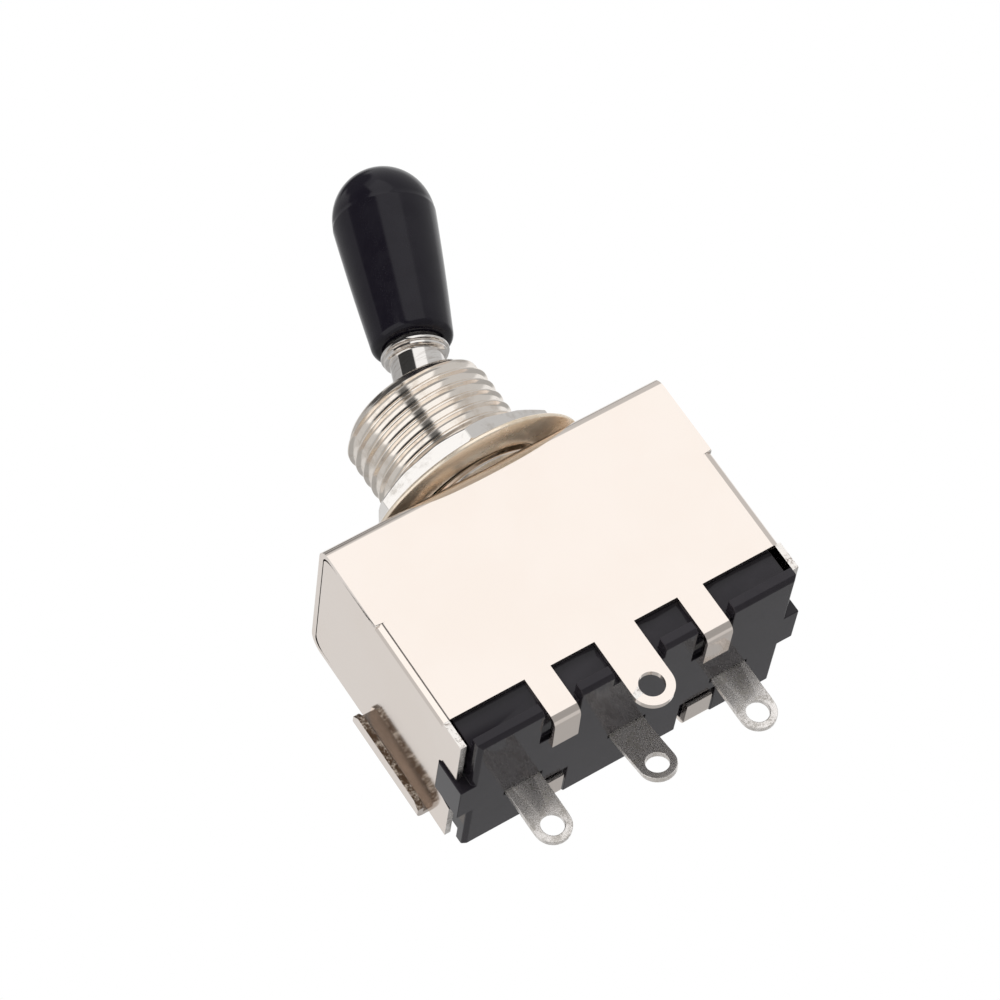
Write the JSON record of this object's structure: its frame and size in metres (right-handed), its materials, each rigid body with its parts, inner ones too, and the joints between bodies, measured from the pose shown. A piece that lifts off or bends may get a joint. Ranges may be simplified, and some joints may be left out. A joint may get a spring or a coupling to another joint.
{
  "type": "toggle selector switch",
  "caption": "Panel-mount three-way toggle selector switch: folded metal box, threaded bushing with nut and washer, tilting lever with a plastic tip, solder terminals",
  "frame": {"origin": "on the axis of the threaded bushing, on the top face of the sheet shell, where the switch sits under its panel", "axes": "+Z runs out of the shell along the bushing; +X is the way the lever is thrown at rest, along the shell's long side; -Y is the face with the ground lug"},
  "size_m": [0.031, 0.0186, 0.0545],
  "materials": {
    "bright_nickel": "bright nickel plate on folded steel sheet",
    "bushing_nickel": "nickel plate on turned brass",
    "washer_nickel": "thin nickel plate on punched brass",
    "lever_steel": "nickel plate on turned steel",
    "spring_steel": "drawn spring steel",
    "terminal_tin": "dull tin plate on stamped brass",
    "contact_bronze": "rolled spring bronze",
    "black_tip": "glossy black moulded plastic",
    "black_base": "glossy dark grey moulded phenolic",
    "white_nylon": "natural nylon",
    "slider_nylon": "moulded nylon",
    "brown_board": "punched insulating board"
  },
  "bodies": {
    "housing": {"shell": "bright_nickel", "front_face": "bright_nickel", "back_face": "bright_nickel", "flap_left": "bright_nickel", "flap_right": "bright_nickel", "bushing": "bushing_nickel", "seat_ring": "white_nylon", "circlip": "spring_steel", "hex_nut": "bushing_nickel", "flat_washer": "washer_nickel", "base": "black_base", "terminal_left": "terminal_tin", "terminal_centre": "terminal_tin", "terminal_right": "terminal_tin", "guide_plate": "brown_board", "detent_spring": "contact_bronze"},
    "lever": {"lever": "lever_steel", "pivot_pin": "spring_steel", "knob": "black_tip", "tip_cap": "white_nylon"},
    "slider": {"slider": "slider_nylon", "wiper": "contact_bronze", "wiper_spring": "spring_steel", "detent_plunger": "spring_steel"}
  },
  "joints": [
    {"name": "lever_throw", "type": "hinge", "parent": "housing", "child": "lever", "pos_m": [0, 0, 0.0065], "axis": [0, 1, 0], "range_deg": [-42, 0]},
    {"name": "slider_travel", "type": "slide", "parent": "housing", "child": "slider", "axis": [1, 0, 0], "range_m": [0, 0.00967]}
  ],
  "couplings": [
    {"joint": "lever_throw", "follows": "slider_travel", "rad_per_m": -75.758}
  ]
}
